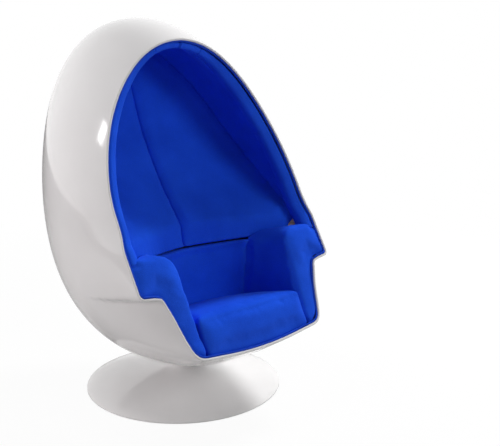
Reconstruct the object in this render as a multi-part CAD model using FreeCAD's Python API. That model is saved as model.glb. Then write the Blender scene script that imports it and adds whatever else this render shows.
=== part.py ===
import FreeCAD, Part
import math
import os

# Pod chair on a swivel dish base. Millimetres, +Z up, the sitter faces -Y.
# The origin is on the floor, on the swivel axis.

Vec = FreeCAD.Vector

# Egg that the back, the top and the bowl of the shell follow
egg_foot_y = -273.0
egg_foot_z = 182.0
egg_tilt = math.radians(31.9)
egg_length = 1284.0
egg_radius_nominal = 440.0
egg_depth_ratio = 1.108
egg_fullness = (0.217, 0.033, -0.100)

# Shell wall, and the front that departs from the egg
shell_wall = 8.0
shell_top_z = 1319.0
arm_half_width = 418.0
arm_blend_low_z = 610.0
arm_blend_high_z = 720.0
shelf_z = 473.0
nose_half_width = 4.0
least_reach = 250.0

# Corner between cheek and chin, as (z, half width, y), and the chin line at X 0, as (z, y)
cheek_corner = [(108, 22, -44), (120, 76, -112), (150, 128, -186), (185, 184, -248), (212, 221, -300),
                (240, 243, -352), (262, 253, -396), (282, 262, -438), (300, 272, -446), (330, 279, -436),
                (365, 286, -418), (400, 293, -401), (432, 303, -388), (473, 318, -368)]
chin_line = [(108, -52), (120, -146), (150, -236), (185, -306), (212, -360), (240, -406), (262, -440),
             (282, -462), (300, -478), (330, -490), (365, -496), (400, -500), (432, -505), (473, -510)]

# Opening edge, seen from the side, as (z, y) from below the chin to above the top
opening_edge = [(200, -470), (262, -437), (365, -383), (475, -333), (577, -275),
                (740, -183), (878, -122), (1017, -72), (1163, -35), (1250, -22), (1345, -20)]

# Reach of the cutting solids, clear of the whole chair
front_reach = 900.0
back_reach = 700.0
side_reach = 600.0
top_reach = 1400.0

# Upholstery
fit_gap = 0.5
welt_size = 7.0
welt_setback = 1.5
welt_depth = 9.0
roll_width = 46.0
roll_top_width = 24.0
roll_depth = 62.0
roll_setback = 4.0
lining_thickness = 42.0
board_thickness = 9.0
roll_corner_half_width = 111.0
roll_corner_z = 1120.0

# Reclined lining: back on the centre line, side line, half width and squareness, each with its height
lining_back = [(200, -36), (560, -35), (580, -33), (679, 62), (790, 142), (919, 216), (1033, 260),
               (1140, 296), (1319, 340)]
lining_side = [(200, -352), (560, -350), (600, -330), (700, -225), (800, -150), (880, -95), (1017, -10),
               (1163, 60), (1319, 120)]
lining_half_width = [(200, 440), (560, 440), (700, 442), (800, 436), (930, 412), (1060, 370), (1180, 312),
                     (1319, 260)]
lining_squareness = [(200, 1.35), (575, 1.35), (660, 1.8), (790, 2.7), (930, 2.8), (1060, 2.5), (1319, 2.2)]
lining_low_z = 572.0

# Seat well, arms and seat cushion
arm_top_z = 590.0
arm_low_z = 150.0
well_seat_half_width = 226.0
well_top_half_width = 246.0
well_centre_y = -262.0
well_band = 55.0
well_pad_low_z = 202.0
arm_round = 50.0
arm_setback = 5.0
arm_back_y = -120.0
seat_front_y = -374.0
seat_front_z = 391.0
seat_front_low_y = -428.0
seat_front_low_z = 272.0
seat_slope = math.tan(math.radians(15.0))
seat_thickness = 100.0
seat_crown = 12.0
seat_edge_draw = 5.0
seat_side_gap = 3.0
cushion_gap = 1.0
deck_thickness = 15.0
deck_gap = 0.5
deck_half_width = 230.0
deck_front_y = -394.0
deck_back_y = -70.0
cleat_width = 30.0
cleat_x = 170.0
cleat_front_y = -330.0
cleat_back_y = -165.0
deck_screw_rows = (-300.0, -195.0)
deck_screw_radius = 3.0
deck_screw_length = 32.0

# Swivel
post_radius = 16.0
shoulder_radius = 24.0
shoulder_z = 120.0
shell_hole_radius = 30.0
post_low_z = 16.0
post_top_z = 198.0
running_gap = 0.03
thrust_thickness = 3.0
thrust_gap = 0.05
housing_outer = 26.0
housing_inner = 21.0
housing_top_z = 192.0
flange_radius = 105.0
flange_thickness = 6.0
block_top_z = 136.0
block_radius = 126.0
bush_length = 30.0
ring_seat_gap = 0.4
ring_play = 0.05
ring_groove_depth = 1.5
ring_outer = 20.0
ring_thickness = 2.0
mount_bolt_circle = 80.0
mount_bolt_radius = 4.0
mount_bolt_head = 6.5
mount_bolt_head_height = 5.0
mount_bolt_length = 17.0
mount_bolt_clearance = 0.2
washer_clearance = 0.2

# Dish base
dish_profile = [(45, 98), (48, 88), (57, 76), (76, 66), (110, 57), (170, 46), (240, 34), (300, 22.5),
                (341, 13)]
dish_radius = 354.0
dish_wall = 5.0
rim_low_z = 4.0
rim_high_z = 8.0
hub_radius = 36.0
hub_top_z = 93.0
ballast_radius = 235.0
ballast_height = 9.0
nut_radius = 37.0
nut_thickness = 6.0
floor_plate_radius = 340.0
floor_plate_thickness = 2.0
foot_ring_width = 16.0
foot_ring_height = 4.0
plate_screw_circle = 200.0
plate_screw_radius = 2.5
plate_screw_depth = 7.0
plate_screw_head_height = 1.5
hub_cone_width = 20.0
hub_cone_height = 30.0


def turn_about_z(profile_points):
    """Solid turned about the swivel axis from (radius, z) corners."""
    points = [Vec(r, 0, z) for r, z in profile_points]
    wire = Part.makePolygon(points + [points[0]])
    return Part.Face(wire).revolve(Vec(0, 0, 0), Vec(0, 0, 1), 360)


def cylinder(radius, low_z, high_z, x=0.0, y=0.0):
    return Part.makeCylinder(radius, high_z - low_z, Vec(x, y, low_z))


def box(x0, x1, y0, y1, z0, z1):
    return Part.makeBox(x1 - x0, y1 - y0, z1 - z0, Vec(x0, y0, z0))


def spline(points):
    curve = Part.BSplineCurve()
    curve.interpolate(points)
    return curve


# Egg

def egg_radius(s):
    """Radius of the egg at the distance s along its axis."""
    t = 1 - 2 * s / egg_length
    c1, c2, c3 = egg_fullness
    return egg_radius_nominal * math.sqrt(max(0, 1 - t * t)) * (1 + c1 * t + c2 * t * t + c3 * t ** 3)


def egg_half_width(y, z):
    """Half width of the egg at a place in the side view, or 0 outside it."""
    dy = y - egg_foot_y
    dz = z - egg_foot_z
    s = dy * math.sin(egg_tilt) + dz * math.cos(egg_tilt)
    v = dz * math.sin(egg_tilt) - dy * math.cos(egg_tilt)
    if not 0 < s < egg_length:
        return 0.0
    return math.sqrt(max(0, egg_radius(s) ** 2 - (v / egg_depth_ratio) ** 2))


def widest(z):
    """Half width of the egg at the height z, and the y where it is widest."""
    best = max(range(-300, 401, 4), key=lambda y: egg_half_width(y, z))
    low, high = best - 4.0, best + 4.0
    for _ in range(30):
        third = (high - low) / 3
        if egg_half_width(low + third, z) < egg_half_width(high - third, z):
            low += third
        else:
            high -= third
    return egg_half_width(low, z), low


# Shell form, as horizontal sections

def through(table, z):
    """Smooth value of a short (z, value) list at the height z."""
    n = len(table)
    slopes = []
    for i in range(n):
        low, high = table[max(i - 1, 0)], table[min(i + 1, n - 1)]
        slopes.append((high[1] - low[1]) / (high[0] - low[0]))
    if z <= table[0][0]:
        return table[0][1] + slopes[0] * (z - table[0][0])
    if z >= table[-1][0]:
        return table[-1][1] + slopes[-1] * (z - table[-1][0])
    for i in range(n - 1):
        z0, v0 = table[i]
        z1, v1 = table[i + 1]
        if z <= z1:
            h = z1 - z0
            u = (z - z0) / h
            return ((2 * u ** 3 - 3 * u * u + 1) * v0 + (u ** 3 - 2 * u * u + u) * h * slopes[i]
                    + (3 * u * u - 2 * u ** 3) * v1 + (u ** 3 - u * u) * h * slopes[i + 1])


def opening_y(z):
    return through(opening_edge, z)


def egg_reach(z, start, outward):
    """The y where the egg's middle line leaves the height z, going back (1) or forward (-1)."""
    near, far = start, start + outward * 700
    for _ in range(40):
        middle = (near + far) / 2
        if egg_half_width(middle, z) > 0:
            near = middle
        else:
            far = middle
    return near


def edge_half_width(z):
    """Half width of the shell at the opening edge, above the shelf."""
    on_egg = egg_half_width(opening_y(z), z)
    if z >= arm_blend_high_z:
        return on_egg
    if z <= arm_blend_low_z:
        return arm_half_width
    share = (z - arm_blend_low_z) / (arm_blend_high_z - arm_blend_low_z)
    share = share * share * (3 - 2 * share)
    return arm_half_width * (1 - share) + on_egg * share


def side_middle(start, end):
    """Middle of the arc that leaves the start straight forward and passes through the end."""
    rise = start[0] - end[0]
    run = start[1] - end[1]
    radius = (rise ** 2 + run ** 2) / (2 * rise)
    return start[0] - radius + math.sqrt(radius ** 2 - (run / 2) ** 2), start[1] - run / 2


def half_section(z, above_shelf):
    """Points of half a section: back, back middle, widest, side middle, edge, front middle, nose."""
    wide, wide_y = widest(z)
    back_y = egg_reach(z, wide_y, 1)
    front_y = egg_reach(z, wide_y, -1)
    diagonal = math.sqrt(0.5)
    back_middle = (wide * diagonal, wide_y + (back_y - wide_y) * diagonal)
    if above_shelf:
        edge_y = max(opening_y(z), wide_y - 0.9 * (wide_y - front_y))
        if edge_y > opening_y(z):
            edge = (egg_half_width(edge_y, z), edge_y)
        else:
            edge = (edge_half_width(z), edge_y)
        if z > arm_blend_high_z:
            side_y = (wide_y + edge_y) / 2
            side = (egg_half_width(side_y, z), side_y)
        else:
            side = side_middle((wide, wide_y), edge)
        nose = (nose_half_width, front_y)
    else:
        edge = (through([(c[0], c[1]) for c in cheek_corner], z),
                through([(c[0], c[2]) for c in cheek_corner], z))
        side = side_middle((wide, wide_y), edge)
        nose = (nose_half_width, through(chin_line, z))
    front_middle_y = nose[1] + 0.28 * (edge[1] - nose[1])
    front_middle = ((edge[0] + nose[0]) * 0.56, front_middle_y)
    return [(0, back_y), back_middle, (wide, wide_y), side, edge, front_middle, nose]


def section_wire(z, above_shelf, inset, place_z):
    """Closed horizontal section, drawn in by the inset and placed at its own height."""
    points = half_section(z, above_shelf)
    centre_y = points[2][1]
    depth_back = points[0][1] - centre_y
    depth_front = centre_y - points[-1][1]
    right = []
    for x, y in points:
        reach = max(depth_back if y > centre_y else depth_front, least_reach)
        wide = max(points[2][0], least_reach)
        right.append(Vec(x * (1 - inset / wide), centre_y + (y - centre_y) * (1 - inset / reach), place_z))
    right[-1].x = nose_half_width
    left = [Vec(-p.x, p.y, p.z) for p in right]
    back_right = quarter(right[0], right[1], right[2])
    back_left = quarter(left[2], left[1], left[0])
    return Part.Wire([back_right,
                      Part.Arc(right[2], right[3], right[4]).toShape(),
                      Part.Arc(right[4], right[5], right[6]).toShape(),
                      Part.makeLine(right[6], left[6]),
                      Part.Arc(left[6], left[5], left[4]).toShape(),
                      Part.Arc(left[4], left[3], left[2]).toShape(),
                      back_left])


def quarter(start, middle, end):
    """Quarter of an ellipse between its two axes, as a spline."""
    curve = Part.BSplineCurve()
    if abs(start.x) < abs(end.x):
        tangents = (Vec(end.x, 0, 0), Vec(0, end.y - start.y, 0))
    else:
        tangents = (Vec(0, end.y - start.y, 0), Vec(end.x - start.x, 0, 0))
    curve.interpolate(Points=[start, middle, end], InitialTangent=tangents[0], FinalTangent=tangents[1])
    return curve.toShape()


low_levels = (108, 112, 120, 134, 150, 168, 185, 212, 240, 262, 282, 300, 330, 365, 400, 432, 473)
high_levels = (473, 515, 560, 610, 665, 720, 790, 860, 930, 1000, 1070, 1130, 1180, 1225, 1260, 1285, 1303,
               1314, 1319)


def low_form(inset):
    """Bowl, cheeks and chin below the shelf, drawn in by the inset."""
    return Part.makeLoft([section_wire(z, False, inset, z + inset) for z in low_levels], True, False)


def high_form(inset, top_inset=None):
    """Everything above the shelf, drawn in by the inset."""
    top_inset = inset if top_inset is None else top_inset
    squeeze = (shell_top_z - shelf_z - inset - top_inset) / (shell_top_z - shelf_z)
    sections = [section_wire(z, True, inset, shelf_z + inset + (z - shelf_z) * squeeze) for z in high_levels]
    return Part.makeLoft(sections, True, False)


def envelope(inset):
    """Solid with the shell's outer form, drawn in by the inset."""
    return low_form(inset).fuse(high_form(inset))


def open_front(shift=0.0):
    """Solid in front of the opening edge, moved back by the shift."""
    points = [Vec(-side_reach, y + shift, z) for z, y in opening_edge]
    edge = spline(points).toShape()
    top = Part.makeLine(points[-1], Vec(-side_reach, -front_reach, points[-1].z))
    front = Part.makeLine(Vec(-side_reach, -front_reach, points[-1].z),
                          Vec(-side_reach, -front_reach, points[0].z))
    bottom = Part.makeLine(Vec(-side_reach, -front_reach, points[0].z), points[0])
    return Part.Face(Part.Wire([edge, top, front, bottom])).extrude(Vec(2 * side_reach, 0, 0))


def lining_curve(z, grow):
    """Points from right to left along a horizontal section of the lining's face, grown by a distance."""
    half_width = through(lining_half_width, z) + grow
    side_y = through(lining_side, z)
    depth = through(lining_back, z) + grow - side_y
    power = 2 / through(lining_squareness, z)
    right = []
    for degrees in (0, 15, 30, 45, 60, 75, 90):
        angle = math.radians(degrees)
        right.append(Vec(half_width * max(0, math.cos(angle)) ** power,
                         side_y + depth * math.sin(angle) ** power, z))
    return right + [Vec(-p.x, p.y, z) for p in reversed(right[:-1])]


def lining_edge(points):
    curve = Part.BSplineCurve()
    curve.interpolate(Points=points)
    return curve.toShape()


def before_lining_wire(z):
    face = lining_curve(z, -2 * fit_gap)
    left_front, right_front = Vec(face[-1].x, -front_reach, z), Vec(face[0].x, -front_reach, z)
    return Part.Wire([lining_edge(face), Part.makeLine(face[-1], left_front),
                      Part.makeLine(left_front, right_front), Part.makeLine(right_front, face[0])])


def lining_layer_wire(z, low_grow, high_grow):
    face = lining_curve(z, low_grow)
    rear = lining_curve(z, high_grow)
    return Part.Wire([lining_edge(face), Part.makeLine(face[-1], rear[-1]), lining_edge(rear[::-1]),
                      Part.makeLine(rear[0], face[0])])


lining_levels = (lining_low_z, 610, 660, 720, 790, 860, 930, 1000, 1070, 1140, 1220, 1300)


def lining_layer(low_grow, high_grow):
    """Curved board or pad that follows the reclined lining."""
    return Part.makeLoft([lining_layer_wire(z, low_grow, high_grow) for z in lining_levels], True, False)


def before_lining():
    """Solid in front of the lining, over the height of the arm ledge."""
    return Part.makeLoft([before_lining_wire(z) for z in (lining_low_z - 2 * fit_gap, arm_top_z)], True, True)


def well_wire(half_width, z):
    """U of the seat well at a height, open edge far in front."""
    turn = half_width * math.sqrt(0.5)
    start, apex, end = Vec(half_width, well_centre_y, z), Vec(0, well_centre_y + half_width, z), Vec(
        -half_width, well_centre_y, z)
    front_right, front_left = Vec(half_width, -front_reach, z), Vec(-half_width, -front_reach, z)
    return Part.Wire([Part.Arc(start, Vec(turn, well_centre_y + turn, z), apex).toShape(),
                      Part.Arc(apex, Vec(-turn, well_centre_y + turn, z), end).toShape(),
                      Part.makeLine(end, front_left), Part.makeLine(front_left, front_right),
                      Part.makeLine(front_right, start)])


def well(grow=0.0):
    """Space of the seat well, with its upper edge rounded over."""
    low = Part.makeLoft([well_wire(well_seat_half_width + grow, 100),
                         well_wire(well_seat_half_width + grow, 300),
                         well_wire(well_top_half_width + grow, arm_top_z - arm_round)], True, True)
    if grow:
        return low
    rounded = []
    for degrees in (0, 30, 60, 85):
        angle = math.radians(degrees)
        rounded.append(well_wire(well_top_half_width + arm_round * (1 - math.cos(angle)),
                                 arm_top_z - arm_round * (1 - math.sin(angle))))
    rounded.append(well_wire(well_top_half_width + arm_round, arm_top_z + 0.5))
    return low.fuse(Part.makeLoft(rounded, True, True))


def behind_hood():
    """Solid behind a slanted plane, where the hood's wall pads end hidden behind the back pads."""
    low, high = Vec(-side_reach, 40, 500), Vec(-side_reach, 385, 1330)
    corners = [low, high, Vec(-side_reach, back_reach, high.z), Vec(-side_reach, back_reach, low.z)]
    return Part.Face(Part.makePolygon(corners + [low])).extrude(Vec(2 * side_reach, 0, 0))


def slab(low_z, high_z):
    return box(-side_reach, side_reach, -front_reach, back_reach, low_z, high_z)


def export(name, shape):
    print(name, len(shape.Solids), round(shape.Volume / 1000), 'cm3', shape.isValid(),
          [round(v) for v in (shape.BoundBox.XMin, shape.BoundBox.XMax, shape.BoundBox.YMin,
                              shape.BoundBox.YMax, shape.BoundBox.ZMin, shape.BoundBox.ZMax)], flush=True)
    shape.exportStep("parts/" + name + ".step")


# Shell

def make_shell():
    outer = envelope(0)
    inner = envelope(shell_wall)
    shell = outer.cut(inner).cut(open_front()).cut(cylinder(shell_hole_radius, 0, post_top_z))
    return shell


# Upholstery

def halves(shape):
    """The left and right halves of a shape, with their names."""
    return [("left", shape.common(box(-side_reach, 0, -front_reach, back_reach, 0, top_reach))),
            ("right", shape.common(box(0, side_reach, -front_reach, back_reach, 0, top_reach)))]


def make_linings(cavity):
    welt_core = envelope(shell_wall + fit_gap + welt_size)
    welt = cavity.cut(welt_core).cut(open_front(welt_setback)).common(open_front(welt_setback + welt_depth))
    export("opening_welt", welt)

    above_arms = slab(arm_top_z + fit_gap, shell_top_z)
    roll_outside = high_form(shell_wall + fit_gap + welt_size + fit_gap)
    roll_inside = high_form(shell_wall + welt_size + roll_width, shell_wall + welt_size + roll_top_width)
    band = roll_outside.cut(roll_inside).cut(open_front(roll_setback))
    band = band.common(open_front(roll_setback + roll_depth)).common(above_arms)
    top_zone = box(-roll_corner_half_width, roll_corner_half_width, -front_reach, back_reach, roll_corner_z,
                   shell_top_z)
    export("rim_roll_top", band.common(top_zone))
    for name, half in halves(band.cut(top_zone)):
        export("rim_roll_" + name, half)

    hood = high_form(shell_wall + fit_gap).cut(high_form(shell_wall + lining_thickness))
    hood = hood.common(above_arms).cut(behind_hood()).cut(open_front(roll_setback + roll_depth + fit_gap))
    for name, half in halves(hood):
        export("hood_" + name, half)
    within = high_form(shell_wall + lining_thickness + fit_gap)
    within = within.cut(open_front(roll_setback + roll_depth + fit_gap))
    pad = lining_layer(0, lining_thickness).common(within)
    for name, half in halves(pad):
        export("back_pad_" + name, half)
    board_face = lining_thickness + fit_gap
    export("back_board", lining_layer(board_face, board_face + board_thickness).common(within))


def seat_top_z(y):
    """Height of the seat's straight line, from the front edge back."""
    return seat_front_z - (y - seat_front_y) * seat_slope


def seat_wire(x):
    """Side-view section of the seat cushion at the distance x from the middle."""
    edge = abs(x) / well_seat_half_width
    draw = seat_edge_draw * edge ** 4
    rise = seat_crown * (1 - edge ** 2)
    reach = math.sqrt(max(0, (well_seat_half_width - cushion_gap) ** 2 - x * x))
    back_y = well_centre_y + reach - cushion_gap - draw
    front_top = Vec(x, seat_front_y + draw, seat_front_z - draw)
    back_top = Vec(x, back_y, seat_top_z(back_y) - draw)
    crown = Vec(x, (front_top.y + back_top.y) / 2, (front_top.z + back_top.z) / 2 + rise)
    low_front = Vec(x, seat_front_low_y + draw, seat_front_low_z)
    bulge = Vec(x, (front_top.y + low_front.y) / 2 - seat_crown / 2, (front_top.z + low_front.z) / 2)
    low_back = Vec(x, back_y, seat_top_z(back_y) - seat_thickness)
    return Part.Wire([Part.Arc(back_top, crown, front_top).toShape(),
                      Part.Arc(front_top, bulge, low_front).toShape(),
                      Part.makeLine(low_front, low_back), Part.makeLine(low_back, back_top)])


def deck_top_z(y):
    """Height of the deck's upper face, just under the cushion."""
    cushion_back_y = well_centre_y + well_seat_half_width - 2 * cushion_gap
    cushion_back_z = seat_top_z(cushion_back_y) - seat_thickness
    fall = (seat_front_low_z - cushion_back_z) / (cushion_back_y - seat_front_low_y)
    return seat_front_low_z - (y - seat_front_low_y) * fall - deck_gap


def sloping_slab(high_drop, low_drop):
    """Slab across the seat between two distances below the deck's upper face."""
    corners = [Vec(-deck_half_width, y, deck_top_z(y) - drop)
               for y, drop in ((deck_front_y, high_drop), (deck_back_y, high_drop),
                               (deck_back_y, low_drop), (deck_front_y, low_drop))]
    return Part.Face(Part.makePolygon(corners + [corners[0]])).extrude(Vec(2 * deck_half_width, 0, 0))


def make_seat(cavity):
    welt_zone = cavity.cut(envelope(shell_wall + fit_gap + welt_size + fit_gap))
    welt_zone = welt_zone.common(open_front(welt_setback + welt_depth + fit_gap))
    behind_edge = cavity.cut(open_front(arm_setback)).cut(welt_zone)
    well_space = well()
    ledge_low_z = lining_low_z - fit_gap
    blocks = box(-side_reach, side_reach, -front_reach, arm_back_y, arm_low_z, ledge_low_z)
    ledge = behind_edge.common(slab(ledge_low_z, arm_top_z)).common(before_lining())
    arms = behind_edge.common(blocks).fuse(ledge).cut(well_space)
    for name, half in halves(arms):
        export("arm_pad_" + name, half)

    behind_arms = box(-side_reach, side_reach, arm_back_y + fit_gap, back_reach, well_pad_low_z,
                      ledge_low_z - fit_gap)
    export("well_pad", well(well_band).common(behind_arms).common(cavity).cut(well_space))

    half_width = well_seat_half_width - seat_side_gap
    stations = [half_width * share for share in (-1, -0.9, -0.6, 0, 0.6, 0.9, 1)]
    cushion = Part.makeLoft([seat_wire(x) for x in stations], True, False)
    export("seat_cushion", cushion.common(behind_edge))

    screws = []
    for x in (-cleat_x, cleat_x):
        for y in deck_screw_rows:
            head_z = deck_top_z(y) - deck_gap
            screws.append(cylinder(deck_screw_radius, head_z - deck_screw_length, head_z, x, y))
    screws = Part.makeCompound(screws)
    deck = sloping_slab(0, deck_thickness).common(cavity).common(well(-2 * cushion_gap))
    export("seat_deck", deck.cut(screws))
    half = cleat_width / 2
    cleat_blocks = [box(x - half, x + half, cleat_front_y, cleat_back_y, 0, seat_front_z)
                    for x in (-cleat_x, cleat_x)]
    below_deck = sloping_slab(deck_thickness, seat_front_z).common(Part.makeCompound(cleat_blocks))
    export("deck_cleats", below_deck.common(cavity).cut(screws))
    export("deck_screws", screws)


# Swivel and base

def make_swivel(cavity):
    ring_z = housing_top_z + ring_seat_gap
    neck_radius = post_radius - ring_groove_depth
    post_chamfer = 2.0
    post = turn_about_z([(0, post_low_z), (shoulder_radius, post_low_z), (shoulder_radius, shoulder_z),
                         (post_radius, shoulder_z), (post_radius, ring_z), (neck_radius, ring_z),
                         (neck_radius, ring_z + ring_thickness), (post_radius, ring_z + ring_thickness),
                         (post_radius, post_top_z - post_chamfer), (post_radius - post_chamfer, post_top_z),
                         (0, post_top_z)])
    export("swivel_post", post)
    ring = cylinder(ring_outer, ring_z + ring_play, ring_z + ring_thickness - ring_play)
    export("retaining_ring", ring.cut(cylinder(neck_radius, ring_z, ring_z + ring_thickness)))
    washer_top = shoulder_z + thrust_thickness
    washer = cylinder(shoulder_radius, shoulder_z, washer_top)
    export("thrust_washer", washer.cut(cylinder(post_radius + washer_clearance, shoulder_z, washer_top)))

    housing_low = washer_top + thrust_gap
    flange_top = block_top_z + flange_thickness
    bolt_low = flange_top - mount_bolt_length
    bolts = []
    holes = []
    for i in range(4):
        angle = math.radians(45 + 90 * i)
        x, y = mount_bolt_circle * math.cos(angle), mount_bolt_circle * math.sin(angle)
        holes.append(cylinder(mount_bolt_radius + mount_bolt_clearance, bolt_low, flange_top, x, y))
        shank = cylinder(mount_bolt_radius, bolt_low, flange_top, x, y)
        head = cylinder(mount_bolt_head, flange_top, flange_top + mount_bolt_head_height, x, y)
        bolts.append(shank.fuse(head))
    holes = Part.makeCompound(holes)
    flange = cylinder(flange_radius, block_top_z, flange_top)
    housing = cylinder(housing_outer, housing_low, housing_top_z).fuse(flange)
    export("swivel_housing", housing.cut(cylinder(housing_inner, housing_low, housing_top_z)).cut(holes))
    export("housing_bolts", Part.makeCompound(bolts))
    for name, low in (("lower_bush", housing_low), ("upper_bush", housing_top_z - bush_length)):
        bush = cylinder(housing_inner, low, low + bush_length)
        export(name, bush.cut(cylinder(post_radius + running_gap, low, low + bush_length)))
    block = cavity.common(cylinder(block_radius, 0, block_top_z))
    export("base_block", block.cut(cylinder(housing_outer + fit_gap, 0, block_top_z)).cut(holes))


def make_base():
    neck_radius, top = dish_profile[0]
    rim_step = 0.5
    steep_above_z = 70
    outside = spline([Vec(r, 0, z) for r, z in dish_profile] + [Vec(dish_radius, 0, rim_high_z)])
    inner_points = [Vec(neck_radius - dish_wall, 0, hub_top_z)]
    for r, z in dish_profile[1:]:
        inner_points.append(Vec(r - dish_wall * (1 if z > steep_above_z else 0.3), 0, z - dish_wall))
    rim_inside = dish_radius - dish_wall
    inside = spline(inner_points + [Vec(rim_inside, 0, rim_low_z + rim_step)])
    bore = shoulder_radius + fit_gap
    corners = [Vec(dish_radius, 0, rim_high_z), Vec(dish_radius, 0, rim_low_z), Vec(rim_inside, 0, rim_low_z),
               Vec(rim_inside, 0, rim_low_z + rim_step)]
    neck = [inner_points[0], Vec(bore, 0, hub_top_z), Vec(bore, 0, top), Vec(neck_radius, 0, top)]
    edges = [outside.toShape(), inside.toShape()]
    for line in (corners, neck):
        edges += [Part.makeLine(a, b) for a, b in zip(line, line[1:])]
    wire = Part.Wire(Part.__sortEdges__(edges))
    export("base_dish", Part.Face(wire).revolve(Vec(0, 0, 0), Vec(0, 0, 1), 360))

    plate_top = rim_low_z + floor_plate_thickness
    ballast_top = plate_top + ballast_height
    cone_top = ballast_top + hub_cone_height
    hub = turn_about_z([(bore, plate_top), (ballast_radius, plate_top), (ballast_radius, ballast_top),
                        (hub_radius + hub_cone_width, ballast_top), (hub_radius, cone_top),
                        (hub_radius, hub_top_z), (bore, hub_top_z)])
    hub = hub.fuse(cylinder(bore, plate_top, post_low_z))
    screws = []
    holes = []
    for i in range(6):
        angle = math.radians(60 * i)
        x, y = plate_screw_circle * math.cos(angle), plate_screw_circle * math.sin(angle)
        shank = cylinder(plate_screw_radius, rim_low_z, plate_top + plate_screw_depth, x, y)
        head = cylinder(2 * plate_screw_radius, rim_low_z - plate_screw_head_height, rim_low_z, x, y)
        holes.append(shank)
        screws.append(shank.fuse(head))
    holes = Part.makeCompound(holes)
    export("ballast_hub", hub.cut(holes))
    export("clamp_nut", cylinder(nut_radius, top, top + nut_thickness).cut(
        cylinder(shoulder_radius, top, top + nut_thickness)))
    export("floor_plate", cylinder(floor_plate_radius, rim_low_z, plate_top).cut(holes))
    export("plate_screws", Part.makeCompound(screws))
    ring_outside = floor_plate_radius - 4
    export("foot_ring", cylinder(ring_outside, 0, foot_ring_height).cut(
        cylinder(ring_outside - foot_ring_width, 0, foot_ring_height)))


os.makedirs("parts", exist_ok=True)
cavity = envelope(shell_wall + fit_gap)
export("shell", make_shell())
make_linings(cavity)
make_seat(cavity)
make_swivel(cavity)
make_base()
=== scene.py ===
import math

import bpy
import numpy as np
from mathutils import Matrix, Vector


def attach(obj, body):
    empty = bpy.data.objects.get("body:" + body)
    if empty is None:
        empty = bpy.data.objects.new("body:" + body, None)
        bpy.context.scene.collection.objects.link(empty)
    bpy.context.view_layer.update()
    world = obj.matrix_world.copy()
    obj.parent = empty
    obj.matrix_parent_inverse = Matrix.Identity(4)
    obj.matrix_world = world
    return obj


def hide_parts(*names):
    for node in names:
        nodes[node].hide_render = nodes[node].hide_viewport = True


# Pod chair. Metres outside, millimetres inside the form functions. The sitter faces -Y.

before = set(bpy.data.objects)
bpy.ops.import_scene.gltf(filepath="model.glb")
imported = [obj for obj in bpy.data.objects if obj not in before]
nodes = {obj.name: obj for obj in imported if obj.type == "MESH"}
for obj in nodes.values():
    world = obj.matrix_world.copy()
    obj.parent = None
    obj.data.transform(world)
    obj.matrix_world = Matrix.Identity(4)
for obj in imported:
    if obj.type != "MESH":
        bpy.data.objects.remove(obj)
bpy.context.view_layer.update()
scene = bpy.context.scene
MM = 0.001

# Form of the shell

egg_foot = (-273.0, 182.0)
egg_tilt = math.radians(31.9)
egg_length = 1284.0
egg_radius_nominal = 440.0
egg_depth_ratio = 1.108
egg_fullness = (0.217, 0.033, -0.100)
arm_half_width = 418.0
arm_blend = (610.0, 720.0)
shelf_z = 473.0
shelf_tilt = 2.0
arm_slope = 0.17
arm_front_y = -275.0
shelf_front_y = -333.0
inner_fillet = 13.0
outer_fillet = 24.0
bottom_z = 108.0
post_hole_radius = 30.0
corner_round = 22.0
chin_power = 2.195
chin_top_z = 520
chin_release_z = (400, 450)
chin_share_limit = 1.4
chin_share_fall = 0.4
egg_blend = (600, 770)
far_inside = 1000
widest_searched = 470.0
highest_searched = 1323.0
highest_loop_z = 1322
edge_run_per_rise = 0.53
width_halvings = 34
edge_halvings = 30
cheek_width = [(108, 22), (120, 76), (150, 128), (185, 184), (212, 221), (240, 243), (262, 253), (282, 262),
               (300, 272), (330, 279), (365, 286), (400, 293), (432, 303), (473, 318)]
cheek_y = [(108, -44), (120, -112), (150, -186), (185, -248), (212, -300), (240, -352), (262, -396),
           (282, -438), (300, -446), (330, -436), (365, -418), (400, -401), (432, -388), (473, -368)]
chin_line = [(108, -52), (120, -146), (150, -236), (185, -306), (212, -360), (240, -406), (262, -440),
             (282, -462), (300, -478), (330, -490), (365, -496), (400, -500), (432, -505), (473, -510)]
opening_edge = [(200, -470), (262, -437), (365, -383), (475, -333), (577, -275), (740, -183), (878, -122),
                (1017, -72), (1163, -35), (1250, -22), (1345, -20)]


def through(table, z):
    """Smooth value of a short (z, value) list at the heights z."""
    z = np.asarray(z, float)
    heights = np.array([row[0] for row in table], float)
    values = np.array([row[1] for row in table], float)
    n = len(heights)
    low = np.maximum(np.arange(n) - 1, 0)
    high = np.minimum(np.arange(n) + 1, n - 1)
    slopes = (values[high] - values[low]) / (heights[high] - heights[low])
    i = np.clip(np.searchsorted(heights, z) - 1, 0, n - 2)
    h = heights[i + 1] - heights[i]
    u = np.clip((z - heights[i]) / h, 0, 1)
    inner = ((2 * u ** 3 - 3 * u * u + 1) * values[i] + (u ** 3 - 2 * u * u + u) * h * slopes[i]
             + (3 * u * u - 2 * u ** 3) * values[i + 1] + (u ** 3 - u * u) * h * slopes[i + 1])
    return (inner + np.minimum(z - heights[0], 0) * slopes[0] + np.maximum(z - heights[-1], 0) * slopes[-1])


def smooth_step(low, high, value):
    share = np.clip((value - low) / (high - low), 0, 1)
    return share * share * (3 - 2 * share)


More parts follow.
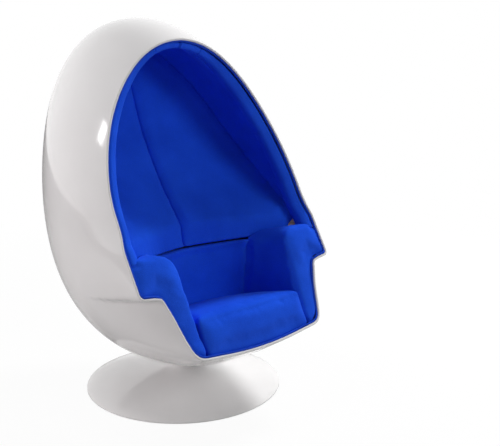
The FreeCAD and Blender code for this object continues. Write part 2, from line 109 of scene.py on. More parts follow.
def egg_half_width(y, z):
    dy = y - egg_foot[0]
    dz = z - egg_foot[1]
    s = dy * math.sin(egg_tilt) + dz * math.cos(egg_tilt)
    v = dz * math.sin(egg_tilt) - dy * math.cos(egg_tilt)
    t = 1 - 2 * s / egg_length
    c1, c2, c3 = egg_fullness
    radius = egg_radius_nominal * np.sqrt(np.maximum(0, 1 - t * t)) * (1 + c1 * t + c2 * t * t + c3 * t ** 3)
    inside = radius ** 2 - (v / egg_depth_ratio) ** 2
    return np.sqrt(np.maximum(inside, 0)) * (np.abs(t) < 1)


wide_z = np.arange(100.0, 1325.0, 1.0)
scan_y = np.arange(-320.0, 480.0, 1.0)
scan = egg_half_width(scan_y[None, :], wide_z[:, None])
peak = np.clip(np.argmax(scan, axis=1), 1, len(scan_y) - 2)
rows = np.arange(len(wide_z))
before, middle, after = (scan[rows, peak + k] ** 2 for k in (-1, 0, 1))
bend = before - 2 * middle + after
shift = np.where(np.abs(bend) > 1e-9, 0.5 * (before - after) / np.where(bend == 0, 1, bend), 0)
wide_y_table = scan_y[peak] + np.clip(shift, -1, 1)
wide_table = egg_half_width(wide_y_table, wide_z)


def arc_half_width(y, wide, wide_y, edge_x, edge_y):
    """Half width on the arc that leaves the widest place straight forward and passes through the edge."""
    rise = np.maximum(wide - edge_x, 0.5)
    run = wide_y - edge_y
    radius = (rise ** 2 + run ** 2) / (2 * rise)
    return wide - radius + np.sqrt(np.maximum(radius ** 2 - (wide_y - y) ** 2, 0))


def side_half_width(y, z):
    """Half width of the sides, with the rounded step under the arms."""
    wide = np.interp(z, wide_z, wide_table)
    wide_y = np.interp(z, wide_z, wide_y_table)
    on_egg = egg_half_width(y, z)
    low = arc_half_width(y, wide, wide_y, through(cheek_width, z), through(cheek_y, z))
    edge_y = through(opening_edge, z)
    share = smooth_step(*arm_blend, z)
    edge_x = arm_half_width * (1 - share) + egg_half_width(edge_y, z) * share
    high = arc_half_width(y, wide, wide_y, edge_x, edge_y)
    egg_share = smooth_step(*egg_blend, z)
    high = high * (1 - egg_share) + on_egg * egg_share
    level = z + arm_slope * np.clip(y - shelf_front_y, 0, 500)
    ledge = np.maximum(high - low, 0.01)
    small = np.minimum(1, ledge / (inner_fillet + outer_fillet + 4))
    r1, r2 = inner_fillet * small, outer_fillet * small
    below = np.clip(level - (shelf_z - shelf_tilt - r1), 0, r1)
    above = np.clip(shelf_z + shelf_tilt + r2 - level, 0, r2)
    from_low = r1 - np.sqrt(np.maximum(r1 ** 2 - below ** 2, 0))
    from_high = r2 - np.sqrt(np.maximum(r2 ** 2 - above ** 2, 0))
    run = np.maximum(ledge - r1 - r2, 0)
    ramp_share = np.clip((level - shelf_z + shelf_tilt) / (2 * shelf_tilt), 0, 1)
    front = np.where(level < shelf_z - shelf_tilt, low + from_low,
                     np.where(level > shelf_z + shelf_tilt, high - from_high, low + r1 + run * ramp_share))
    return np.where(y >= wide_y, on_egg, front)


def inside(x, y, z):
    """Positive inside the shell's outer form."""
    side = side_half_width(y, z) - x
    corner_y = through(cheek_y, z)
    nose_y = through(chin_line, z)
    share = np.maximum(x, 0) / np.maximum(through(cheek_width, z), 10)
    share = np.minimum(share, chin_share_limit - chin_share_fall * smooth_step(*chin_release_z, z))
    chin = y - (nose_y + (corner_y - nose_y) * share ** chin_power)
    chin = np.where(z > chin_top_z, far_inside, chin)
    h = np.clip(0.5 + 0.5 * (chin - side) / corner_round, 0, 1)
    return chin * (1 - h) + side * h - corner_round * h * (1 - h)


def shell_x(y, z):
    """Half width of the outer form at a place in the side view."""
    low = np.zeros(np.broadcast(y, z).shape)
    high = np.full(low.shape, widest_searched)
    for _ in range(width_halvings):
        half = (low + high) / 2
        within = inside(half, y, z) > 0
        low = np.where(within, half, low)
        high = np.where(within, high, half)
    return low


def outward(x, y, z):
    """Unit vector pointing out of the form."""
    d = 0.5
    gx = inside(x + d, y, z) - inside(np.abs(x - d), y, z)
    gx = np.where(x < d, 0, gx)
    gy = inside(x, y + d, z) - inside(x, y - d, z)
    gz = inside(x, y, z + d) - inside(x, y, z - d)
    g = -np.stack([gx, gy, gz], -1)
    return g / np.maximum(np.linalg.norm(g, axis=-1, keepdims=True), 1e-9)


def span(g):
    """Lowest and highest z of the loop that lies the distance g behind the opening edge."""
    levels = np.arange(bottom_z, highest_searched, 1.0)
    y = through(opening_edge, levels)[None, :] + g[:, None]
    held = inside(np.zeros_like(y), y, np.broadcast_to(levels, y.shape)) > 0
    held &= side_half_width(y, np.broadcast_to(levels, y.shape)) > 0
    first = np.argmax(held, axis=1)
    last = held.shape[1] - 1 - np.argmax(held[:, ::-1], axis=1)
    ends = []
    for index, sign in ((first, -1), (last, 1)):
        good = levels[index]
        bad = good + sign
        for _ in range(edge_halvings):
            half = (good + bad) / 2
            y_half = through(opening_edge, half) + g
            ok = (inside(np.zeros_like(half), y_half, half) > 0) & (side_half_width(y_half, half) > 0)
            good = np.where(ok, half, good)
            bad = np.where(ok, bad, half)
        ends.append(np.clip(good, bottom_z, highest_loop_z))
    return ends[0], ends[1]


low_columns, high_columns = 80, 150
step_lowest_share = 0.25
step_height_share = 0.06
step_offsets = np.concatenate([
    -shelf_tilt - inner_fillet + inner_fillet * np.sin(np.linspace(0, math.pi / 2, 9)),
    np.linspace(-shelf_tilt, shelf_tilt, 16)[1:-1],
    shelf_tilt + outer_fillet - outer_fillet * np.cos(np.linspace(0, math.pi / 2, 15))])


def loop_heights(g):
    """Heights of the columns on each loop, dense in the step under the arms."""
    z_low, z_high = span(g)
    reach = z_high - z_low
    sink = arm_slope * g / (1 + edge_run_per_rise * arm_slope)
    step_low = np.maximum(shelf_z + step_offsets[0] - sink, z_low + step_lowest_share * reach)
    step_high = step_low + np.minimum(step_offsets[-1] - step_offsets[0], step_height_share * reach)
    i = np.linspace(0, 1, low_columns + 1)[:-1]
    lower = z_low[:, None] + (step_low - z_low)[:, None] * (1 - np.cos(i * math.pi / 2))[None, :]
    share = (step_offsets[:-1] - step_offsets[0]) / (step_offsets[-1] - step_offsets[0])
    stepped = step_low[:, None] + (step_high - step_low)[:, None] * share[None, :]
    j = np.linspace(0, 1, high_columns + 1)
    upper = step_high[:, None] + (z_high - step_high)[:, None] * np.sin(j * math.pi / 2)[None, :]
    return np.concatenate([lower, stepped, upper], axis=1)


def shell_grid(g):
    """Points of the loops at the distances g behind the opening edge, from the bottom to the top."""
    z = loop_heights(g)
    y = through(opening_edge, z) + g[:, None]
    x = shell_x(y, z)
    x[:, -1] = 0
    x[:, 0] = np.where(z[:, 0] > bottom_z + 0.2, 0, x[:, 0])
    return np.stack([x, y, z], -1)


def new_object(name, vertices, faces, smooth=True):
    mesh = bpy.data.meshes.new(name)
    mesh.from_pydata([tuple(v) for v in vertices], [], [tuple(f) for f in faces])
    mesh.validate()
    mesh.update()
    piece = bpy.data.objects.new(name, mesh)
    scene.collection.objects.link(piece)
    if smooth:
        mesh.polygons.foreach_set("use_smooth", [True] * len(mesh.polygons))
    return piece


def grid_faces(rows_count, columns, first=0, closed=False):
    faces = []
    for r in range(rows_count - 1):
        for c in range(columns if closed else columns - 1):
            d = (c + 1) % columns
            faces.append((first + r * columns + c, first + r * columns + d,
                          first + (r + 1) * columns + d, first + (r + 1) * columns + c))
    return faces


def settle(piece):
    """Applies the modifiers of a piece."""
    graph = bpy.context.evaluated_depsgraph_get()
    mesh = bpy.data.meshes.new_from_object(piece.evaluated_get(graph))
    piece.modifiers.clear()
    old = piece.data
    piece.data = mesh
    mesh.name = piece.name
    bpy.data.meshes.remove(old)
    mesh.polygons.foreach_set("use_smooth", [True] * len(mesh.polygons))
    return piece


# Shell with its rounded lip

lip_radius = 4.3
lip_turn = 15
lip_inside_depths = (16.0, 6.0, 1.0)
rows_behind_lip = (0, 2, 4, 7)
shell_rows = 170
deepest_searched = 900
least_loop_height = 60
row_gap = 1.5
weld_distance = 0.02
foot_rays = 96
foot_searched = 300.0
foot_probe = 0.3
wall = 8


def edge_frame(g):
    """Points, inward and forward directions along one loop."""
    points = shell_grid(np.array([g]))[0]
    inward = -outward(points[:, 0], points[:, 1], points[:, 2])
    tangent = np.gradient(points, axis=0)
    tangent[0] = (1, 0, 0)
    tangent[-1] = (-1, 0, 0)
    forward = np.cross(inward, tangent)
    forward /= np.linalg.norm(forward, axis=1, keepdims=True)
    forward *= np.where(forward[:, 1:2] > 0, -1, 1)
    return points, inward, forward


def make_shell():
    far = np.linspace(0, 1, shell_rows)
    reach_grid = np.linspace(0, deepest_searched, deepest_searched + 1)
    low, high = span(reach_grid)
    held = (high - low) > least_loop_height
    deepest = reach_grid[np.argmin(held) - 1] if not held.all() else reach_grid[-1]
    g = lip_radius + (deepest - lip_radius) * (1 - (1 - far) ** 2)
    near = lip_radius + np.array(rows_behind_lip)
    g = np.concatenate([near, g[g > near[-1] + row_gap]])
    g[-1] = deepest
    body = shell_grid(g)
    points, inward, forward = edge_frame(lip_radius)
    lip = []
    for back in lip_inside_depths:
        lip.append(points + inward * 2 * lip_radius - forward * back)
    for degrees in range(180, 0, -lip_turn):
        angle = math.radians(degrees)
        lip.append(points + inward * lip_radius * (1 - math.cos(angle))
                   + forward * lip_radius * math.sin(angle))
    every = np.concatenate([np.array(lip), body])
    every[:, -1, 0] = 0
    every[:len(lip) + len(near), 0, 0] = 0
    n_rows, n_columns = every.shape[:2]
    right = every.reshape(-1, 3) * MM
    left = right * (-1, 1, 1)
    faces = grid_faces(n_rows, n_columns)
    other = [f[::-1] for f in grid_faces(n_rows, n_columns, len(right))]
    last = (n_rows - 1) * n_columns
    vertices = np.concatenate([right, left])
    pole_z = every[-1, :, 2].mean()
    back_y = np.arange(0.0, 700.0, 0.1)
    pole_y = back_y[egg_half_width(back_y, np.full(len(back_y), pole_z)) > 0].max()
    pole = len(vertices)
    vertices = np.concatenate([vertices, [(0, pole_y * MM, pole_z * MM)]])
    cap = []
    for c in range(n_columns - 1):
        cap.append((last + c, last + c + 1, pole))
        cap.append((len(right) + last + c + 1, len(right) + last + c, pole))
    piece = new_object("shell_body", vertices, faces + other + cap)
    weld = piece.modifiers.new("weld", "WELD")
    weld.merge_threshold = weld_distance * MM
    return settle(piece)


def make_shell_bottom():
    """Flat round the post, under the bowl."""
    rings = []
    for share in (0, 0.5, 1):
        ring = []
        for k in range(foot_rays):
            angle = 2 * math.pi * k / foot_rays
            dx, dy = math.cos(angle), math.sin(angle)
            low, high = post_hole_radius, foot_searched
            for _ in range(edge_halvings):
                half = (low + high) / 2
                at = [np.array(v) for v in (abs(dx * half), dy * half, bottom_z + foot_probe)]
                ok = float(inside(*at)) > 0
                low, high = (half, high) if ok else (low, half)
            radius = post_hole_radius + (low - post_hole_radius) * share
            ring.append((dx * radius * MM, dy * radius * MM, bottom_z * MM))
        rings += ring
    up = [(v[0], v[1], v[2] + wall * MM) for v in rings[:foot_rays]]
    return new_object("shell_foot", up + rings, grid_faces(4, foot_rays, closed=True))


# Padded pieces, swollen by a cloth simulation

snug = 1.5
taut_steps = 5
cloth_frames = 20
cloth_values = {"quality": 4, "use_pressure": True, "uniform_pressure_force": 4.0,
                "tension_stiffness": 12, "compression_stiffness": 8, "bending_stiffness": 0.4}


def vertex_values(piece, kind="co"):
    """Places or normals of a piece's points."""
    values = np.zeros(len(piece.data.vertices) * 3)
    piece.data.vertices.foreach_get(kind, values)
    return values.reshape(-1, 3)


def padded_copy(node, name, voxel, cap, free, smooth=3, form=None):
    """A pad made from its CAD solid: remeshed, swollen by pressure where it is free, and capped."""
    piece = bpy.data.objects.new(name, nodes[node].data.copy())
    piece.data.materials.clear()
    scene.collection.objects.link(piece)
    remesh = piece.modifiers.new("remesh", "REMESH")
    remesh.mode = "VOXEL"
    remesh.voxel_size = voxel * MM
    soften = piece.modifiers.new("soften", "SMOOTH")
    soften.factor = 0.5
    soften.iterations = smooth
    settle(piece)
    rest = vertex_values(piece)
    normals = vertex_values(piece, "normal")
    cloth = piece.modifiers.new("cloth", "CLOTH")
    for key, value in cloth_values.items():
        setattr(cloth.settings, key, value)
    cloth.settings.effector_weights.gravity = 0.0
    cloth.point_cache.frame_start = 1
    cloth.point_cache.frame_end = cloth_frames
    for number in range(1, cloth_frames + 1):
        scene.frame_set(number)
    settle(piece)
    scene.frame_set(1)
    move = vertex_values(piece) - rest
    length = np.linalg.norm(move, axis=1, keepdims=True)
    limit = cap * MM
    move = move / np.maximum(length, 1e-9) * limit * np.tanh(length / limit)
    weight = free(rest / MM, normals)[:, None]
    piece.data.vertices.foreach_set("co", (rest + normals * (snug * MM) + move * weight).ravel())
    piece.data.update()
    taut = piece.modifiers.new("taut", "SMOOTH")
    taut.factor = 0.5
    taut.iterations = taut_steps
    subdivide = piece.modifiers.new("subdivide", "SUBSURF")
    subdivide.levels = 1
    subdivide.render_levels = 1
    settle(piece)
    if form:
        reshape(piece, form)
    finish_pad(piece, node)
    return piece


def finish_pad(piece, node):
    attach(piece, "seat_shell")
    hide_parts(node)
    piece.data.materials.append(fabric)


def mirrored(piece, node, name):
    mesh = piece.data.copy()
    mesh.transform(Matrix.Scale(-1, 4, Vector((1, 0, 0))))
    mesh.flip_normals()
    other = bpy.data.objects.new(name, mesh)
    mesh.materials.clear()
    scene.collection.objects.link(other)
    finish_pad(other, node)
    return other


def facing(direction, low=0.1, high=0.6):
    """Weight of the places whose outside looks in a direction."""
    d = np.array(direction, float)
    d /= np.linalg.norm(d)
    return lambda places, normals: smooth_step(low, high, normals @ d)


def toward(target, low=0.15, high=0.6):
    """Weight of the places whose outside looks towards a point in the sitting space."""
    def weight(places, normals):
        d = np.array(target, float) - places
        d /= np.linalg.norm(d, axis=1, keepdims=True)
        return smooth_step(low, high, (normals * d).sum(1))
    return weight


slope_end = 420
lining_cut_z = (582, 598)
lining_back_z = (590, 650)
lining_wide_z = (640, 760)
lining_drop, lining_back, lining_widening = 10, 8, 0.02
rim_lean, rim_lift, rim_centre_y = 0.09, 17, -262
rim_lean_z = (500, 560)
rim_drop_z = (400, 560)
seat_front_y = (-430, -380)
seat_front_z = (265, 345)
seat_forward, seat_down = 7, 10


def slope_drop(y):
    """Fall of the arms at a place, from their front edge on."""
    return arm_slope * np.clip(y - arm_front_y, 0, slope_end)


def reshape(piece, move):
    """Moves the points of a piece by a function of their places, in millimetres."""
    places = vertex_values(piece) / MM
    places += move(places[:, 0], places[:, 1], places[:, 2])
    piece.data.vertices.foreach_set("co", (places * MM).ravel())
    piece.data.update()


def sinking(still_z, full_z):
    """Move that lets a piece sink towards the back, like the sloping arms, fully from one height on."""
    def move(x, y, z):
        share = smooth_step(min(still_z, full_z), max(still_z, full_z), z)
        if still_z > full_z:
            share = 1 - share
        return np.stack([0 * x, 0 * x, -slope_drop(y) * share], -1)
    return move


def lining_foot(x, y, z):
    """Move of the back lining's lower end, outwards, back behind the well's rim and down to it."""
    down = (slope_drop(y) + lining_drop) * (1 - smooth_step(*lining_cut_z, z))
    wider = lining_widening * x * (1 - smooth_step(*lining_wide_z, z))
    return np.stack([wider, lining_back * (1 - smooth_step(*lining_back_z, z)), -down], -1)


def well_rim(x, y, z):
    """Move of the well lining: its rim leans in, rises to the arms and slopes with them."""
    lean = rim_lean * smooth_step(*rim_lean_z, z)
    down = slope_drop(y) - rim_lift
    return np.stack([-lean * x, -lean * (y - rim_centre_y), -down * smooth_step(*rim_drop_z, z)], -1)


def seat_foot(x, y, z):
    """Move of the seat's lower front edge, down to the welt."""
    share = (1 - smooth_step(*seat_front_y, y)) * (1 - smooth_step(*seat_front_z, z))
    return np.stack([0 * x, -seat_forward * share, -seat_down * share], -1)


# Swept pieces along the opening

roll_stations = 240


def path_along(g, inset, z_from=None):
    """Points, inward and backward directions from the lower end on the left over the top to the right."""
    if z_from is None:
        z = loop_heights(np.array([g]))[0]
    else:
        top = span(np.array([g]))[1][0]
        z = z_from + (top - z_from) * np.sin(np.linspace(0, 1, roll_stations) * math.pi / 2)
    y = through(opening_edge, z) + g
    x = shell_x(y, z)
    x[-1] = 0
    if z_from is None:
        x[0] = 0
    points = np.stack([x, y, z], -1)
    inward = -outward(x, y, z)
    inward[-1, 0] = 0
    tangent = np.gradient(points, axis=0)
    tangent[-1] = (-1, 0, 0)
    if z_from is None:
        tangent[0] = (1, 0, 0)
    backward = np.cross(inward, tangent)
    backward /= np.linalg.norm(backward, axis=1, keepdims=True)
    backward *= np.where(backward[:, 1:2] < 0, -1, 1)
    centre = points + inward * inset
    flip = np.array([-1, 1, 1])
    lower = slice(0, -1)
    right = [centre, inward, backward]
    left = [a * flip for a in right]
    return [np.concatenate([a[lower], b[::-1][:-1] if z_from is None else b[::-1]])
            for a, b in zip(left, right)]


def sweep(name, centre, inward, backward, section, closed):
    """Tube with the given section along a path. A section gives (inward, backward) offsets per path point."""
    count = len(centre)
    sides = section.shape[1]
    rings = (centre[:, None, :] + inward[:, None, :] * section[:, :, 0:1]
             + backward[:, None, :] * section[:, :, 1:2])
    vertices = rings.reshape(-1, 3) * MM
    faces = []
    steps = count if closed else count - 1
    for i in range(steps):
        for k in range(sides):
            a, b = i * sides, ((i + 1) % count) * sides
            m = (k + 1) % sides
            faces.append((a + k, b + k, b + m, a + m))
    if not closed:
        faces.append(tuple(range(sides)))
        faces.append(tuple((count - 1) * sides + k for k in reversed(range(sides))))
    return new_object(name, vertices, faces)


# Materials

def shader(name, base, roughness, **inputs):
    material = bpy.data.materials.new(name)
    material.use_nodes = True
    tree = material.node_tree
    surface = tree.nodes["Principled BSDF"]
    surface.inputs["Base Color"].default_value = (*base, 1)
    surface.inputs["Roughness"].default_value = roughness
    for key, value in inputs.items():
        surface.inputs[key.replace("_", " ")].default_value = value
    place = tree.nodes.new("ShaderNodeTexCoord")
    return material, tree, surface, place.outputs["Object"]


def noise(tree, place, scale, detail=3, distortion=0.0):
    node = tree.nodes.new("ShaderNodeTexNoise")
    node.inputs["Scale"].default_value = scale
    node.inputs["Detail"].default_value = detail
    node.inputs["Distortion"].default_value = distortion
    tree.links.new(place, node.inputs["Vector"])
    return node.outputs["Fac"]


def ramp(tree, value, low, high, at=(0.35, 0.65)):
    node = tree.nodes.new("ShaderNodeValToRGB")
    node.color_ramp.elements[0].position = at[0]
    node.color_ramp.elements[1].position = at[1]
    node.color_ramp.elements[0].color = (*low, 1)
    node.color_ramp.elements[1].color = (*high, 1)
    tree.links.new(value, node.inputs["Fac"])
    return node.outputs["Color"]


def math_node(tree, operation, a, b=0.0):
    node = tree.nodes.new("ShaderNodeMath")
    node.operation = operation
    for socket, value in zip(node.inputs, (a, b)):
        if isinstance(value, (int, float)):
            socket.default_value = value
        else:
            tree.links.new(value, socket)
    return node.outputs["Value"]


def bump(tree, surface, height, strength, distance):
    node = tree.nodes.new("ShaderNodeBump")
    node.inputs["Strength"].default_value = strength
    node.inputs["Distance"].default_value = distance
    tree.links.new(height, node.inputs["Height"])
    tree.links.new(node.outputs["Normal"], surface.inputs["Normal"])


def weave_height(tree, place, threads):
    """Crossing threads on every side of a form, from three sets of fine bands."""
    geometry = tree.nodes.new("ShaderNodeNewGeometry")
    split = tree.nodes.new("ShaderNodeSeparateXYZ")
    tree.links.new(geometry.outputs["Normal"], split.inputs["Vector"])
    total = None
    for axis in "XYZ":
        band = tree.nodes.new("ShaderNodeTexWave")
        band.bands_direction = axis
        band.inputs["Scale"].default_value = threads
        band.inputs["Distortion"].default_value = 1.2
        band.inputs["Detail"].default_value = 1
        band.inputs["Detail Scale"].default_value = 0.4
        tree.links.new(place, band.inputs["Vector"])
        across = math_node(tree, "SUBTRACT", 1.0, math_node(tree, "ABSOLUTE", split.outputs[axis]))
        part = math_node(tree, "MULTIPLY", band.outputs["Fac"], across)
        total = part if total is None else math_node(tree, "ADD", total, part)
    return total


def cloth_material(name, shade, light, bump_strength=0.35):
    material, tree, surface, place = shader(name, light, 0.82, Sheen_Weight=0.1, Sheen_Roughness=0.4)
    surface.inputs["Sheen Tint"].default_value = (0.15, 0.4, 1.0, 1)
    surface.inputs["Specular IOR Level"].default_value = 0.25
    mottle = noise(tree, place, 7.0, 4)
    fibre = noise(tree, place, 420.0, 2)
    both = math_node(tree, "ADD", math_node(tree, "MULTIPLY", mottle, 0.55),
                     math_node(tree, "MULTIPLY", fibre, 0.45))
    tree.links.new(ramp(tree, both, shade, light), surface.inputs["Base Color"])
    threads = weave_height(tree, place, 95.0)
    height = math_node(tree, "ADD", math_node(tree, "MULTIPLY", threads, 0.6),
                       math_node(tree, "MULTIPLY", fibre, 0.6))
    bump(tree, surface, height, bump_strength, 0.0008)
    return material


def gloss_material(name, light, shade, roughness, peel=0.05):
    material, tree, surface, place = shader(name, light, roughness, Coat_Weight=0.6, Coat_Roughness=0.04)
    tree.links.new(ramp(tree, noise(tree, place, 3.0, 3), shade, light), surface.inputs["Base Color"])
    wear = noise(tree, place, 11.0, 5)
    rough = math_node(tree, "ADD", math_node(tree, "MULTIPLY", wear, 0.07), roughness)
    tree.links.new(rough, surface.inputs["Roughness"])
    wave = math_node(tree, "ADD", math_node(tree, "MULTIPLY", noise(tree, place, 5.0, 1), 1.0),
                     math_node(tree, "MULTIPLY", noise(tree, place, 160.0, 1), 0.02))
    bump(tree, surface, wave, peel, 0.01)
    return material


def metal_material(name, light, shade, roughness, scale=220.0, metallic=1.0):
    material, tree, surface, place = shader(name, light, roughness, Metallic=metallic)
    grain = noise(tree, place, scale, 4, 0.3)
    tree.links.new(ramp(tree, grain, shade, light), surface.inputs["Base Color"])
    rough = math_node(tree, "ADD", math_node(tree, "MULTIPLY", grain, 0.15), roughness - 0.07)
    tree.links.new(rough, surface.inputs["Roughness"])
    bump(tree, surface, grain, 0.12, 0.0005)
    return material


def wood_material(name):
    material, tree, surface, place = shader(name, (0.62, 0.44, 0.25), 0.6)
    ply = tree.nodes.new("ShaderNodeTexWave")
    ply.bands_direction = "Z"
    ply.inputs["Scale"].default_value = 60
    ply.inputs["Distortion"].default_value = 3
    tree.links.new(place, ply.inputs["Vector"])
    layers = ramp(tree, ply.outputs["Fac"], (0.42, 0.27, 0.14), (0.66, 0.48, 0.29))
    tree.links.new(layers, surface.inputs["Base Color"])
    bump(tree, surface, ply.outputs["Fac"], 0.1, 0.0005)
    return material


fabric = cloth_material("blue_wool", (0.009, 0.072, 0.68), (0.015, 0.108, 0.88))
# The welt cord's blue is a darker copy of the wool: painted shade for the dark line along the lip.
shaded_piping = cloth_material("blue_piping", (0.008, 0.045, 0.45), (0.014, 0.075, 0.64), 0.5)
shell_white = gloss_material("white_gelcoat", (0.83, 0.82, 0.825), (0.80, 0.785, 0.79), 0.10)
dish_white = gloss_material("white_enamel", (0.92, 0.91, 0.91), (0.89, 0.88, 0.88), 0.14)
steel = metal_material("zinc_steel", (0.62, 0.62, 0.64), (0.45, 0.45, 0.47), 0.32)
iron = metal_material("cast_iron", (0.09, 0.09, 0.095), (0.05, 0.05, 0.055), 0.6, 90.0, 0.7)
bronze = metal_material("bearing_bronze", (0.62, 0.42, 0.16), (0.45, 0.29, 0.10), 0.35)
black = metal_material("black_powder", (0.03, 0.03, 0.03), (0.015, 0.015, 0.015), 0.6, 500.0, 0.0)
rubber = metal_material("black_rubber", (0.02, 0.02, 0.02), (0.012, 0.012, 0.012), 0.85, 300.0, 0.0)
acetal = metal_material("acetal", (0.80, 0.78, 0.70), (0.74, 0.71, 0.62), 0.5, 200.0, 0.0)
plywood = wood_material("plywood")

for node, material in {
    "back_board": plywood, "seat_deck": plywood, "deck_cleats": plywood, "base_block": plywood,
    "deck_screws": steel, "swivel_post": steel, "retaining_ring": steel, "thrust_washer": acetal,
    "swivel_housing": steel, "housing_bolts": steel, "lower_bush": bronze, "upper_bush": bronze,
    "base_dish": dish_white, "ballast_hub": iron, "clamp_nut": dish_white, "floor_plate": black,
    "plate_screws": steel, "foot_ring": rubber,
}.items():
    mesh = nodes[node].data
    mesh.materials.clear()
    mesh.materials.append(material)

# Pieces

shell = make_shell()
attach(shell, "seat_shell")
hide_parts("shell")
shell.data.materials.append(shell_white)
foot = make_shell_bottom()
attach(foot, "seat_shell")
foot.data.materials.append(shell_white)

welt_behind_edge, welt_inset = 5.6, 12.4
welt_half_width, welt_half_depth, welt_sides = 3.6, 3.9, 13
centre, inward, backward = path_along(welt_behind_edge, welt_inset)
angles = np.linspace(0, 2 * math.pi, welt_sides + 1)[:-1]
ring = np.stack([welt_half_width * np.cos(angles), welt_half_depth * np.sin(angles)], -1)
ring = np.broadcast_to(ring, (len(centre), welt_sides, 2))
welt = sweep("welt_cord", centre, inward, backward, ring, True)
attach(welt, "seat_shell")
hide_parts("opening_welt")
welt.data.materials.append(shaded_piping)

roll_middle = 34.5
roll_half_depth = 30.5
roll_half_width, roll_top_thinner = 23.0, 7.0
roll_thin_z = (1120, 1290)
roll_inset = 15.5
roll_sides = 40
roll_power_back, roll_power_wall, roll_power_inner = 0.78, 0.45, 0.85
arm_top_z = 590.0
roll_below_arm = 28.0
roll_corner = 111.0
corner_above_z = 1000
no_corner = 900
pinch_length, pinch_depth = 3.0, 2.5
centre, inward, backward = path_along(roll_middle, 0.0, arm_top_z - roll_below_arm)
half_width = roll_half_width - roll_top_thinner * smooth_step(*roll_thin_z, centre[:, 2])
along = np.concatenate([[0], np.cumsum(np.linalg.norm(np.diff(centre, axis=0), axis=1))])
corner_gaps = [np.where(centre[:, 2] > corner_above_z, np.abs(centre[:, 0] - corner), no_corner)
               for corner in (-roll_corner, roll_corner)]
pinch = np.zeros(len(centre))
for gap in corner_gaps:
    pinch = np.maximum(pinch, np.exp(-(gap / pinch_length) ** 2))
ripple = 0.5 * np.sin(along / 37.0) + 0.35 * np.sin(along / 17.0 + 1.0)
angles = np.linspace(0, 2 * math.pi, roll_sides + 1)[:-1]
power_in = np.where(np.cos(angles) < 0, roll_power_wall, roll_power_inner)
shape_in = np.sign(np.cos(angles)) * np.abs(np.cos(angles)) ** power_in
shape_back = np.sign(np.sin(angles)) * np.abs(np.sin(angles)) ** roll_power_back
size = (half_width - pinch_depth * pinch + ripple * 0.3)[:, None]
depth = (roll_half_depth - pinch_depth * pinch + ripple)[:, None]
section = np.stack([roll_inset + half_width[:, None] + shape_in[None, :] * size,
                    shape_back[None, :] * depth], -1)
corner_at = [int(np.argmin(gap)) for gap in corner_gaps]
for name, first, last in (("roll_left", 0, corner_at[0]), ("roll_top", corner_at[0], corner_at[1]),
                          ("roll_right", corner_at[1], len(centre) - 1)):
    part = slice(first, last + 1)
    roll = sweep(name, centre[part], inward[part], backward[part], section[part], False)
    finish_pad(roll, "rim_" + name)

hood = padded_copy("hood_right", "hood_pad_right", 9.0, 4.0, toward((0, -120, 880)), 3,
                   sinking(900, 560))
mirrored(hood, "hood_left", "hood_pad_left")
back = padded_copy("back_pad_right", "back_lining_right", 8.0, 7.0, toward((0, -300, 900)), 2,
                   lining_foot)
mirrored(back, "back_pad_left", "back_lining_left")
arm = padded_copy("arm_pad_right", "arm_cushion_right", 6.0, 6.0, toward((0, -700, 700), 0.0, 0.5),
                  14, sinking(420, 570))
mirrored(arm, "arm_pad_left", "arm_cushion_left")
padded_copy("well_pad", "well_lining", 7.0, 4.0, toward((0, -300, 560)), 3, well_rim)
seat_top = facing((0, -0.5, 1), 0.0, 0.5)
seat_front = facing((0, -1, -0.6), 0.1, 0.6)
padded_copy("seat_cushion", "seat_pad", 6.0, 7.0, lambda places, normals: np.maximum(
    seat_top(places, normals), seat_front(places, normals)), 3, seat_foot)

# Floor, background, lamps and camera

floor_reach = 30
floor_grey, floor_seen = 0.5, 0.95
glow_from, glow_to = 0.9, 3.0
glow_near = 0.94
ambient_light = 0.08

floor_mesh = bpy.data.meshes.new("floor")
corners = [(floor_reach * i, floor_reach * j, 0) for i, j in ((-1, -1), (1, -1), (1, 1), (-1, 1))]
floor_mesh.from_pydata(corners, [], [(0, 1, 2, 3)])
floor = bpy.data.objects.new("floor", floor_mesh)
scene.collection.objects.link(floor)
material = bpy.data.materials.new("pale_floor")
material.use_nodes = True
tree = material.node_tree
surface = tree.nodes["Principled BSDF"]
surface.inputs["Roughness"].default_value = 0.6
light_path = tree.nodes.new("ShaderNodeLightPath")
shades = tree.nodes.new("ShaderNodeValToRGB")
shades.color_ramp.elements[0].color = (floor_grey, floor_grey, floor_grey, 1)
shades.color_ramp.elements[1].color = (floor_seen, floor_seen, floor_seen, 1)
tree.links.new(light_path.outputs["Is Camera Ray"], shades.inputs["Fac"])
tree.links.new(shades.outputs["Color"], surface.inputs["Base Color"])
glow = tree.nodes.new("ShaderNodeEmission")
glow.inputs["Color"].default_value = (1, 1, 1, 1)
mix = tree.nodes.new("ShaderNodeMixShader")
away = tree.nodes.new("ShaderNodeVectorMath")
away.operation = "LENGTH"
tree.links.new(tree.nodes.new("ShaderNodeTexCoord").outputs["Object"], away.inputs[0])
glow_share = tree.nodes.new("ShaderNodeMapRange")
for socket, value in (("From Min", glow_from), ("From Max", glow_to), ("To Min", glow_near), ("To Max", 1.0)):
    glow_share.inputs[socket].default_value = value
tree.links.new(away.outputs["Value"], glow_share.inputs["Value"])
factor = math_node(tree, "MULTIPLY", light_path.outputs["Is Camera Ray"],
                   glow_share.outputs["Result"])
tree.links.new(factor, mix.inputs["Fac"])
tree.links.new(surface.outputs["BSDF"], mix.inputs[1])
tree.links.new(glow.outputs["Emission"], mix.inputs[2])
tree.links.new(mix.outputs["Shader"], tree.nodes["Material Output"].inputs["Surface"])
floor_mesh.materials.append(material)

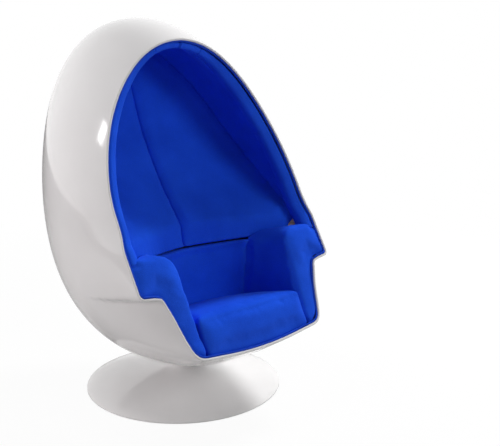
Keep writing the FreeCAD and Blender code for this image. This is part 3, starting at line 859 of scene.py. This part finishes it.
world = bpy.data.worlds.new("studio")
scene.world = world
world.use_nodes = True
tree = world.node_tree
tree.nodes.clear()
ambient = tree.nodes.new("ShaderNodeBackground")
ambient.inputs["Color"].default_value = (1.0, 0.98, 0.98, 1)
ambient.inputs["Strength"].default_value = ambient_light
white = tree.nodes.new("ShaderNodeBackground")
white.inputs["Color"].default_value = (1, 1, 1, 1)
white.inputs["Strength"].default_value = 1.0
light_path = tree.nodes.new("ShaderNodeLightPath")
seen = math_node(tree, "MAXIMUM", light_path.outputs["Is Camera Ray"],
                 light_path.outputs["Is Glossy Ray"])
mix = tree.nodes.new("ShaderNodeMixShader")
output = tree.nodes.new("ShaderNodeOutputWorld")
tree.links.new(seen, mix.inputs["Fac"])
tree.links.new(ambient.outputs["Background"], mix.inputs[1])
tree.links.new(white.outputs["Background"], mix.inputs[2])
tree.links.new(mix.outputs["Shader"], output.inputs["Surface"])


def lamp(name, place, target, size, power, colour=(1, 1, 1)):
    data = bpy.data.lights.new(name, "AREA")
    data.shape = "RECTANGLE"
    data.size, data.size_y = size
    data.energy = power
    data.color = colour
    thing = bpy.data.objects.new(name, data)
    scene.collection.objects.link(thing)
    thing.location = place
    thing.rotation_euler = (Vector(target) - Vector(place)).to_track_quat("-Z", "Y").to_euler()
    return thing


# The highlight's lamp stands where the shell mirrors it to the camera.
eye = np.array([-1723.8, -2202.18, 1215.48])
highlight_distance = 2600
glint = np.array([-372.0, -68.0, 956.0])
glint[0] = -shell_x(np.array(glint[1]), np.array(glint[2]))
glint_normal = outward(-glint[0:1], glint[1:2], glint[2:3])[0] * (-1, 1, 1)
sight = (eye - glint) / np.linalg.norm(eye - glint)
mirror = 2 * sight.dot(glint_normal) * glint_normal - sight
highlight_place = tuple((glint + mirror * highlight_distance) * MM)
lamp("key", (3.0, 0.1, 3.0), (0, -0.3, 0.5), (0.9, 0.9), 115)
lamp("front", (1.2, -3.4, 1.9), (0, -0.3, 0.5), (1.2, 1.2), 42)
lamp("left", (-3.0, 0.8, 0.7), (0, 0.1, 0.4), (1.6, 1.6), 44, (1.0, 0.96, 0.96))
lamp("right", (2.8, 0.9, 0.6), (0, 0, 0.1), (0.8, 0.8), 8)
lamp("top", (-0.8, 1.0, 3.6), (0, 0.1, 0.8), (1.6, 1.6), 36)
for light in [thing for thing in scene.objects if thing.type == "LIGHT"]:
    light.visible_glossy = False
lamp("highlight", highlight_place, (-0.37, -0.07, 0.96), (0.2, 0.45), 3)

camera_data = bpy.data.cameras.new("camera")
camera = bpy.data.objects.new("camera", camera_data)
scene.collection.objects.link(camera)
camera.location = tuple(eye * MM)
camera.rotation_euler = Vector((0.66727, 0.71328, -0.21443)).to_track_quat("-Z", "Y").to_euler()
camera_data.sensor_width = 36.0
camera_data.lens = 57.6
camera_data.clip_end = 100
scene.camera = camera
scene.view_settings.view_transform = "Standard"
